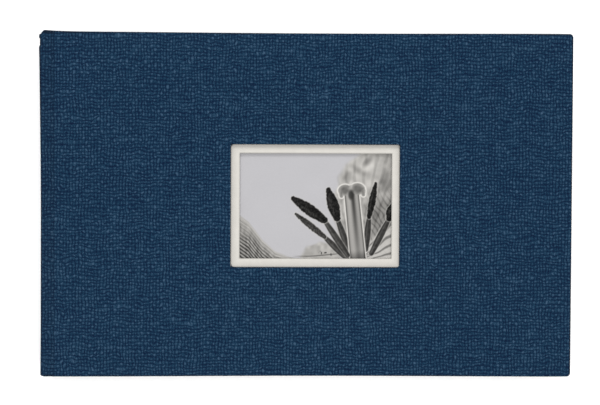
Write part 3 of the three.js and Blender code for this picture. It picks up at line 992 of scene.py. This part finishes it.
def window_gussets(cloth):
    """Small tongues of cloth that close the slit corners of the window, a little longer at the tail."""
    points, faces, uv = [], [], []
    bottom = WINDOW_HIGH[2] + 0.05 * MM
    thickness, corner_lift, overlap = 0.25 * MM, 0.1 * MM, 0.25 * MM
    spread = np.linspace(0, math.pi / 2, 7)
    curve = 0.55 * MM * np.stack([1 - np.sin(spread), 1 - np.cos(spread)], 1)
    for side_x, side_y, reach in ((0, 0, 1.5), (1, 0, 1.6), (0, 1, 0.8), (1, 1, 0.9)):
        corner = np.array([(WINDOW_LOW, WINDOW_HIGH)[side_x][0], (WINDOW_LOW, WINDOW_HIGH)[side_y][1]])
        inward = np.array([1 - 2 * side_x, 1 - 2 * side_y])
        outline = np.concatenate([[corner - inward * overlap], corner + inward * reach * curve])
        first = len(points)
        for level in (0, 1):
            for k, (x, y) in enumerate(outline):
                lift = thickness * level + (corner_lift if k == 0 else 0)
                points.append((x, y, bottom + lift))
                uv.append((x, y))
        count = len(outline)
        faces.append(tuple(first + k for k in range(count)))
        faces.append(tuple(first + count + k for k in range(count))[::-1])
        for k in range(count):
            after = (k + 1) % count
            faces.append((first + k, first + after, first + count + after, first + count + k))
    piece = outward(new_piece("window_gussets", points, faces, uv, crease=40))
    piece.data.materials.append(cloth)
    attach(piece, "front_cover")


class Picture:
    """A black and white close-up of a flower, painted as a tone for each point of the print.
    Places are in millimetres from the middle of the mat's opening."""

    def __init__(self, x, y):
        self.x, self.y = x, y
        self.tone = 0.79 + 0.012 * lattice_noise(x, y, 6, 3)
        self.warmth = np.zeros_like(x)

    def lay(self, mask, tone, strength=1.0):
        self.tone = self.tone + (tone - self.tone) * mask * strength
        self.warmth = self.warmth + (1 - self.warmth) * mask * strength

    def stem(self, start, end, radii, bulge=0.0):
        """Distance to a tapered stem, how far along it each point is, and how far to the side."""
        start, end = np.array(start, float), np.array(end, float)
        run = end - start
        length = np.hypot(*run)
        dx, dy = self.x - start[0], self.y - start[1]
        share = np.clip((dx * run[0] + dy * run[1]) / length**2, 0, 1)
        side = (dx * run[1] - dy * run[0]) / length
        radius = radii[0] + (radii[1] - radii[0]) * share + bulge * np.sin(math.pi * share)
        distance = np.hypot(dx - share * run[0], dy - share * run[1]) - radius
        return distance, share, side / radius

    def ellipse(self, centre, half, tilt=0.0):
        c, s = math.cos(tilt), math.sin(tilt)
        dx, dy = self.x - centre[0], self.y - centre[1]
        u, v = (dx * c + dy * s) / half[0], (dy * c - dx * s) / half[1]
        return (np.hypot(u, v) - 1) * min(half)

    @staticmethod
    def inside(distance, soft=0.35):
        return smooth_step(0.5 - distance / soft)

    def back_petal(self):
        x, y = self.x, self.y
        distance = self.ellipse((21.8, -2.0), (16.0, 21.0), 0.12) + 1.2 * (lattice_noise(x, y, 3.2, 7) - 0.5)
        angle = np.arctan2(x - 12.5, y + 24)
        lumps = lattice_noise(x, y, 3.2, 8) + 0.5 * lattice_noise(x, y, 1.3, 9)
        wavy = 2.2 * lattice_noise(x, y, 2.2, 10)
        veins = np.sin(angle * 75 + wavy)
        slant = np.sin((x * 0.83 + y * 0.56) * 4.2 + 1.6 * wavy)
        low = smooth_step((7 - y) / 8) * smooth_step((x - 14.5) / 4)
        tone = 0.71 + 0.2 * (lumps - 0.75) - 0.08 * smooth_step(veins)
        tone = tone - low * (0.12 + 0.14 * smooth_step(slant))
        bright = self.inside(self.ellipse((18.5, 11.0), (5.5, 3.4), 0.3), 3.0)
        tone = tone + 0.1 * bright
        tone = tone - 0.26 * self.inside(self.ellipse((16.6, 14.2), (1.5, 0.8), 0.9), 1.6)
        tone = tone - 0.18 * self.inside(self.ellipse((13.4, 11.4), (1.5, 0.9), -0.6), 1.8)
        tone = tone - 0.12 * self.inside(self.ellipse((22.0, 8.5), (0.9, 3.6), -0.35), 1.6)
        self.lay(self.inside(distance, 1.6), tone)
        self.lay(self.inside(np.abs(distance + 0.5) - 0.2, 1.2), 0.83, 0.4)

    def side_petal(self):
        x, y = self.x, self.y
        edge = np.interp(x, (-25, -21.5, -17, -13, -9, -4), (-2.6, -5.2, -11.0, -14.6, -16.3, -17.4))
        depth = edge - y
        bend = 1.4 * lattice_noise(x, y, 2.6, 11)
        lines = np.sin(depth * 5.4 + bend + 0.16 * np.maximum(x + 25, 0) ** 1.3)
        fine = np.sin(depth * 9.0 + 2 * bend)
        dark = smooth_step(depth / 6) * smooth_step((-8 - y) / 5)
        mottle = lattice_noise(x, 0.35 * y, 0.6, 17) - 0.5
        tone = 0.7 - 0.1 * smooth_step(depth / 4) - 0.14 * dark + 0.2 * mottle * smooth_step(depth / 3)
        tone = tone - (0.05 + 0.2 * dark) * lines - 0.04 * fine
        self.lay(self.inside(-depth, 0.9), tone)
        self.lay(self.inside(np.abs(depth - 0.3) - 0.2, 0.8), 0.82, 0.5)

    def low_petals(self):
        x, y = self.x, self.y
        bump = self.ellipse((1.8, -16.4), (6.2, 4.6), 0.1) + 0.8 * (lattice_noise(x, y, 1.5, 12) - 0.5)
        tone = 0.82 - 0.16 * lattice_noise(x, y, 1.1, 13)
        self.lay(self.inside(bump, 1.2), tone)
        angle = np.arctan2(x - 12.0, y + 18.5)
        streaks = np.sin(angle * 34 + 2 * lattice_noise(x, y, 2.5, 14))
        region = smooth_step((angle - 0.62) / 0.12) * smooth_step((x - 13.5) / 1.2)
        self.lay(region, 0.82 - 0.36 * smooth_step(streaks - 0.1), 0.9)
        line = -16.15 + 0.9 * smooth_step((x + 3) / 13)
        stroke = self.inside(np.abs(y - line) - 0.12, 0.4) * smooth_step((x + 8) / 6)
        self.lay(stroke * smooth_step((11 - x) / 2), 0.3)
        specks = smooth_step((lattice_noise(x, y, 0.5, 15) - 0.72) / 0.08)
        near = self.inside(np.abs(y + 15.3) - 0.8, 0.8) * smooth_step((x - 0.5) / 2)
        self.lay(specks * near * smooth_step((20 - x) / 8), 0.2)

    def pistil(self):
        x, y = self.x, self.y
        distance, share, side = self.stem((11.5, 4.4), (13.7, -16.8), (2.3, 2.45))
        curls = [
            (self.ellipse((9.3, 5.1), (2.1, 1.75), 0.25), (9.0, 4.5)),
            (self.stem((8.3, 4.6), (8.3, 3.2), (0.95, 0.6))[0], (8.5, 3.6)),
            (self.ellipse((13.5, 5.5), (2.35, 1.85), -0.15), (13.8, 4.9)),
            (self.stem((15.1, 4.8), (15.3, 3.7), (0.95, 0.6))[0], (15.0, 4.2)),
        ]
        head = np.minimum.reduce([curl for curl, _ in curls])
        notch = self.inside(self.ellipse((11.3, 7.0), (0.5, 1.1)), 0.5)
        whole = np.minimum(head, distance)
        self.lay(self.inside(whole - 0.35, 0.5), 0.95)
        tone = 0.68 + 0.1 * np.cos(side * 2.4)
        stripe = np.exp(-(((side + 0.1) / (0.3 + 0.12 * share)) ** 2))
        tone = tone - (0.56 - 0.36 * share) * stripe
        tone = tone - 0.3 * np.exp(-(((np.abs(side) - 0.98) / 0.13) ** 2))
        tone = tone - 0.2 * smooth_step((share - 0.86) / 0.14)
        self.lay(self.inside(distance), tone)
        inner = smooth_step(-head / 1.3)
        curl_tone = 0.62 - 0.22 * inner + 0.12 * (lattice_noise(x, y, 0.8, 16) - 0.5)
        self.lay(self.inside(head), curl_tone)
        self.lay(notch, 0.86, 0.7)
        self.lay(self.inside(self.ellipse((11.4, 3.6), (0.9, 1.5)), 0.8), 0.2, 0.85)

    def stamen(self, tip, base, foot, width, dark, seed):
        """A filament from its foot to the base of its anther, and the anther on to its tip."""
        distance, share, side = self.stem(base, foot, (0.62, 0.75), 0.35)
        self.lay(self.inside(distance - 0.22, 0.35), 0.86, 0.55)
        gloss = 0.12 * np.exp(-(((side - 0.3) / 0.3) ** 2))
        self.lay(self.inside(distance), 0.16 + gloss + 0.1 * lattice_noise(self.x, self.y, 0.7, seed + 2))
        distance, share, side = self.stem(tip, base, (0.42 * width, 0.66 * width), 0.5 * width)
        distance = distance + 0.24 * (lattice_noise(self.x, self.y, 0.5, seed) - 0.5)
        self.lay(self.inside(distance - 0.25, 0.4), 0.87, 0.6)
        grain = lattice_noise(self.x, self.y, 0.36, seed + 1)
        shine = np.exp(-(((side - 0.35) / 0.3) ** 2)) * np.sin(math.pi * share)
        self.lay(self.inside(distance), dark + 0.2 * (grain - 0.5) + 0.1 * shine)

    def paint(self):
        self.back_petal()
        self.side_petal()
        self.low_petals()
        self.stamen((19.3, 7.3), (17.2, -3.4), (16.2, -14.0), 1.05, 0.07, 31)
        self.stamen((24.9, 0.6), (23.7, -3.9), (18.0, -15.2), 1.5, 0.07, 33)
        self.stamen((4.1, 5.2), (6.9, -3.8), (11.2, -15.6), 1.75, 0.08, 35)
        self.pistil()
        self.stamen((-6.3, -2.6), (2.9, -9.9), (10.2, -16.9), 0.95, 0.2, 37)
        self.stamen((-7.2, 2.4), (2.8, -4.5), (10.4, -15.8), 1.7, 0.08, 39)
        return np.clip(self.tone * PRINT_TONE, 0.02, 0.97), self.warmth


def print_lines(low, high, opening_low, opening_high):
    """Places along a side of the print: wide apart under the mat, and close together where it shows."""
    under_mat = 2 * MM
    first, last = opening_low - 0.5 * MM, opening_high + 0.5 * MM
    before = spaced([low, first], under_mat)[:-1]
    after = spaced([last, high], under_mat)[1:]
    return np.concatenate([before, spaced([first, last], PRINT_STEP), after])


def cover_print():
    low, high = lows_highs("cover_print")
    xs, ys = (print_lines(low[k], high[k], MAT_OPENING_LOW[k], MAT_OPENING_HIGH[k]) for k in (0, 1))
    x, y = np.meshgrid(xs, ys)
    middle = (MAT_OPENING_LOW + MAT_OPENING_HIGH) / 2
    tone, warmth = Picture((x - middle[0]) / MM, (y - middle[1]) / MM).paint()
    columns, rows = len(xs), len(ys)
    top = np.stack([x, y, np.full_like(x, high[2])], 2).reshape(-1, 3)
    border = list(range(columns - 1)) + [r * columns + columns - 1 for r in range(rows - 1)]
    border += [(rows - 1) * columns + c for c in range(columns - 1, 0, -1)]
    border += [r * columns for r in range(rows - 1, 0, -1)]
    under = top[border] - [0, 0, high[2] - low[2]]
    faces = grid_faces(rows, columns)
    first, count = len(top), len(border)
    for k in range(count):
        after = (k + 1) % count
        faces.append((border[after], border[k], first + k, first + after))
    faces.append(tuple(first + k for k in range(count))[::-1])
    piece = outward(new_piece("flower_print", np.concatenate([top, under]), faces, crease=40))
    paint_print(piece, np.append(tone, np.full(count, PRINT_CUT_EDGE)), np.append(warmth, np.zeros(count)))
    piece.data.materials.append(print_material())
    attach(piece, "cover_print")
    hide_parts("cover_print")


def paint_print(piece, tone, warmth):
    """Gives each point its grey, cold in the background and warm in the flower, as a linear colour."""
    level = np.where(tone > 0.04, ((tone + 0.055) / 1.055) ** 2.4, tone / 12.92)
    tint = level[:, None] * (PRINT_COLD + (PRINT_WARM - PRINT_COLD) * warmth[:, None])
    colour = np.concatenate([tint, np.ones((len(tone), 1))], 1)
    picture = piece.data.color_attributes.new("picture", "FLOAT_COLOR", "POINT")
    picture.data.foreach_set("color", colour.astype(np.float32).ravel())


# ---------------------------------------------------------------------------------------------
# Leaf block
# ---------------------------------------------------------------------------------------------
CREASE_X = TURN_X + 8 * MM
CREASE_END = CREASE_X + 8 * MM
ROOT_THICKNESS = 0.12 * MM


def leaf_names():
    """The turning sheets from the back of the album to the front."""
    return sorted(TURNS, key=lambda name: TURNS[name]["pos_m"][2])


def turning_sheet(name, material, chance):
    low, high = lows_highs(name)
    thickness = high[2] - low[2]
    centre = (low[2] + high[2]) / 2
    short = chance.uniform(0.05, 0.35) * MM
    shift = chance.uniform(-0.12, 0.12) * MM
    curl = chance.uniform(-1, 1) * min(0.07 * MM, (LEAF_PITCH / 2 - thickness) / 4)
    phase = chance.uniform(0, 2 * math.pi)
    root_end = np.linspace(TURN_X + 0.35 * MM, CREASE_X, 15)[:-1]
    creased = np.linspace(CREASE_X, CREASE_END, 9)[:-1]
    flat = np.linspace(CREASE_END, high[0] - short, 22)
    xs = np.concatenate([root_end, creased, flat])
    root = min(ROOT_THICKNESS, thickness)
    swell = root + (thickness - root) * rise(xs, CREASE_X - 0.6 * MM, 0.8 * MM)
    ends = np.linspace(low[1] + 0.15 * MM, high[1] - 0.15 * MM, 12) + shift
    points, faces = ribbon(np.stack([xs, np.full(len(xs), centre)], 1), swell, ends)
    x, z, y = points.T
    run = np.clip((x - CREASE_X) / (high[0] - CREASE_X), 0, 1)
    z = z + curl * run**2 * (1 + 0.6 * np.sin(y * 45 + phase) + 0.4 * np.sin(x * 70 + phase))
    piece = outward(new_piece(name + "_sheet", np.stack([x, y, z], 1), faces))
    piece.data.set_sharp_from_angle(angle=math.radians(50))
    piece.data.materials.append(material)
    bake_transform(piece)
    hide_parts(name)


def leaf_block():
    chance = np.random.default_rng(SEED)
    card = paper_material("leaf_card", (197, 192, 179), (180, 172, 155), 1.4 * MM, 0.02, 0.12)
    glassine = glassine_material()
    names = leaf_names()
    finishes = {"glassine": (glassine, "glassine"), "leaf": (card, "leaf_card")}
    for order, name in enumerate(names):
        material, slot = finishes.get(name.split("_")[0], (ENDPAPER, "endpaper"))
        turning_sheet(name, material, chance)


PAPER_NEAR_COVER = (  # from the board's edge, and inwards from the pasted sheet, both in mm
    (0.9, 0.11),
    (0.15, 0.08),
    (-0.3, -0.5),
    (-0.6, -1.4),
    (-1.3, -1.75),
    (-1.85, -1.1),
    (-1.75, -0.1),
)
PAPER_NEAR_LEAF = ((-1.1, -0.25), (-0.5, -0.1))  # the same, but inwards from the flyleaf


def joint_paper(side):
    """The stretch of endpaper that crosses the joint, from the pasted sheet to the flyleaf's root."""
    front = side == "front"
    inner = TOP - lows_highs("front_pastedown")[0][2]
    low, high = lows_highs(side + "_flyleaf")
    root = TOP - high[2] if front else low[2]
    stops = [(BOARD_X + x * MM, inner + depth * MM) for x, depth in PAPER_NEAR_COVER]
    stops += [(BOARD_X + x * MM, root + depth * MM) for x, depth in PAPER_NEAR_LEAF]
    ends = np.linspace(low[1] + 0.1 * MM, high[1] - 0.1 * MM, 10)
    points, faces = ribbon(curve_through(stops, 40), 0.14 * MM, ends)
    x, depth, y = points.T
    places = np.stack([x, y, height_at(depth, front)], 1)
    piece = outward(new_piece(side + "_joint_paper", places, faces, crease=60))
    piece.data.materials.append(ENDPAPER)
    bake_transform(piece)


def headband_tree():
    """Thread wound round a core: one ring after another, the colour changing every few rings."""
    tree = bpy.data.node_groups.new("wound_thread", "GeometryNodeTree")
    face = tree.interface
    face.new_socket("Geometry", in_out="OUTPUT", socket_type="NodeSocketGeometry")
    inputs = {
        "Turns": "Int",
        "Pitch": "Float",
        "Core Radius": "Float",
        "Thread Radius": "Float",
        "Colour Run": "Int",
        "Start": "Vector",
        "Material": "Material",
    }
    for name, kind in inputs.items():
        face.new_socket(name, in_out="INPUT", socket_type="NodeSocket" + kind)
    w = Wiring(tree)
    given = w.node("NodeGroupInput").outputs
    step = w.vector(0.0, 0.0, given["Pitch"])
    stack = {"Count": given["Turns"], "Start Location": given["Start"], "Offset": step}
    line = w.node("GeometryNodeMeshLine", stack)
    round_core = {"Resolution": 16, "Radius": given["Core Radius"]}
    ring = w.node("GeometryNodeCurvePrimitiveCircle", round_core, mode="RADIUS")
    round_thread = {"Resolution": 6, "Radius": given["Thread Radius"]}
    thread = w.node("GeometryNodeCurvePrimitiveCircle", round_thread, mode="RADIUS")
    body = w.node("GeometryNodeCurveToMesh", {"Curve": ring.outputs[0], "Profile Curve": thread.outputs[0]})
    wound = w.node("GeometryNodeInstanceOnPoints", {"Points": line.outputs[0], "Instance": body.outputs[0]})
    index = w.node("GeometryNodeInputIndex").outputs[0]
    run = w.math("FLOOR", w.math("DIVIDE", index, given["Colour Run"]))
    colour = w.math("FLOORED_MODULO", run, 2.0)
    named = w.node(
        "GeometryNodeStoreNamedAttribute",
        {"Geometry": wound.outputs[0], "Name": "turn_colour", "Value": colour},
        data_type="FLOAT",
        domain="INSTANCE",
    )
    real = w.node("GeometryNodeRealizeInstances", {"Geometry": named.outputs[0]})
    smooth = w.node("GeometryNodeSetShadeSmooth", {"Geometry": real.outputs[0]})
    finish = {"Geometry": smooth.outputs[0], "Material": given["Material"]}
    painted = w.node("GeometryNodeSetMaterial", finish)
    out = w.node("NodeGroupOutput")
    w.feed(out.inputs[0], painted.outputs[0])
    return tree


def headbands():
    tree = headband_tree()
    material = headband_material()
    for node in ("headband_head", "headband_tail"):
        low, high = lows_highs(node)
        radius = (high[0] - low[0]) / 2
        thread = 0.17 * MM
        pitch = 1.9 * thread
        turns = int((high[2] - low[2] - 2 * thread) / pitch) + 1
        values = {
            "Turns": turns,
            "Pitch": pitch,
            "Core Radius": radius - thread,
            "Thread Radius": thread,
            "Colour Run": 3,
            "Start": ((low[0] + high[0]) / 2, (low[1] + high[1]) / 2, low[2] + thread),
            "Material": material,
        }
        piece = new_piece(node + "_thread", [], [])
        winding = piece.modifiers.new("winding", "NODES")
        winding.node_group = tree
        for item in tree.interface.items_tree:
            if item.in_out == "INPUT":
                winding[item.identifier] = values[item.name]
        finished(piece)
        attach(piece, "spine")
        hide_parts(node)


def headband_cores():
    """The cord that each headband's thread is wound on, a little narrower at its two cut ends."""
    inside_thread, bevel = 0.28 * MM, 0.1 * MM
    for node in ("headband_head", "headband_tail"):
        low, high = lows_highs(node)
        middle, radius = (low + high) / 2, (high[0] - low[0]) / 2 - inside_thread
        start, end = low[2] + bevel / 2, high[2] - bevel / 2
        angle = np.linspace(0, 2 * math.pi, 17)[:-1]
        rings = [(start, 0.6), (start + bevel, 1), (end - bevel, 1), (end, 0.6)]
        points = [
            (middle[0] + radius * size * math.cos(a), middle[1] + radius * size * math.sin(a), z)
            for z, size in rings
            for a in angle
        ]
        count = len(angle)
        faces = loop_faces(count, len(rings))
        faces += [tuple(range(count)), tuple((len(rings) - 1) * count + c for c in range(count))]
        piece = outward(new_piece(node + "_core", points, faces, crease=50))
        piece.data.materials.append(CORD_CORE)
        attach(piece, "spine")


def spine_turn_ins(cloth):
    """The case cloth folded over both ends of the spine board and down behind it."""
    board_low, board_high = lows_highs("spine_board")
    inner = GROOVE_X - 0.17 * MM
    fold = 0.5 * MM
    straight = 3 * MM
    clear = 0.4 * MM
    turn = np.linspace(0, math.pi / 2, 6)
    heights = np.linspace(board_low[2] + clear, board_high[2] - clear, 12)
    for end, last_y, way in (("head", SPINE_HIGH[1], 1), ("tail", SPINE_LOW[1], -1)):
        outer_y = last_y - way * 0.22 * MM
        path = [(inner, outer_y - way * SPINE_TURN_IN), (inner, outer_y - way * (fold + straight))]
        for a in turn:
            path.append((inner - fold * (1 - math.cos(a)), outer_y - way * fold * (1 - math.sin(a))))
        path.append((board_low[0] + 0.45 * MM, outer_y))
        points, faces = ribbon(path, 0.25 * MM, heights)
        x, y, z = points.T
        uv = np.stack([y + x, z], 1)
        piece = outward(new_piece(end + "_spine_turn_in", points, faces, uv, crease=60))
        piece.data.materials.append(cloth)
        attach(piece, "spine")


def case_cloth(cloth):
    for side in ("front", "back"):
        front = side == "front"
        piece = case_half(side + "_case_cloth", front)
        piece.data.materials.append(cloth)
        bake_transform(piece)
        replaced = [side + "_cover_cloth", side + "_joint_cloth"] + (["spine_cloth"] if front else [])
        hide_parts(*replaced)
        declare_cut(side)


def declare_cut(side):
    """Works out, but does not keep, the area of half of the case cloth as it was cut: half the spine, one
    cover, and what is turned in round it.
    """
    width = TOP / 2 + (FORE_X - SPINE_X) + COVER_WRAP + TURN_IN
    height = (HEAD_Y - TAIL_Y) + 2 * (COVER_WRAP + TURN_IN)
    opening = (WINDOW_HOLE[1] - WINDOW_HOLE[0]) - 2 * (COVER_WRAP + WINDOW_FLAP)
    mitres = 2 * ((TURN_IN + COVER_WRAP) ** 2 + TURN_IN**2)
    cut = width * height - mitres
    if side == "front":
        cut -= opening[0] * opening[1]


def repaint_frame_pieces():
    """The pieces whose frame shape is already right get their real finish."""
    coarse = {"fibre": 1.0 * MM, "mottle": 0.08, "flecks": 0.5, "relief": 0.05 * MM, "rough": 0.95}
    greyboard = paper_material("greyboard", (160, 154, 142), (98, 92, 82), **coarse)
    even = {"fibre": 1.1 * MM, "mottle": 0.04, "flecks": 0.2}
    infill = paper_material("infill_card", (214, 210, 202), (180, 175, 165), **even)
    kraft = {"fibre": 1.8 * MM, "mottle": 0.06, "flecks": 0.35, "relief": 0.04 * MM}
    lining = paper_material("spine_lining_paper", (186, 166, 132), (140, 120, 90), **kraft)
    pocket = paper_material("pocket_card", (208, 203, 192), (184, 176, 160))
    finishes = {
        "front_board": greyboard,
        "back_board": greyboard,
        "spine_board": greyboard,
        "front_infill_card": infill,
        "back_infill_card": infill,
        "front_pastedown": ENDPAPER,
        "back_pastedown": ENDPAPER,
        "photo_pocket": pocket,
        "spine_lining": lining,
        "sewn_spine": binding_material(),
    }
    for node, material in finishes.items():
        frame["nodes"][node].material_slots[0].material = material


# ---------------------------------------------------------------------------------------------
# The album
# ---------------------------------------------------------------------------------------------
ENDPAPER = endpaper_material()
CORD_CORE = paper_material("cord_core", (214, 206, 188), (180, 168, 146), 0.8 * MM, 0.05, 0.3)

add_camera()
add_studio()
BOOK_CLOTH = cloth_material()
case_cloth(BOOK_CLOTH)
spine_turn_ins(BOOK_CLOTH)
window_mat()
window_gussets(BOOK_CLOTH)
cover_print()
leaf_block()
joint_paper("front")
joint_paper("back")
headband_cores()
headbands()
repaint_frame_pieces()
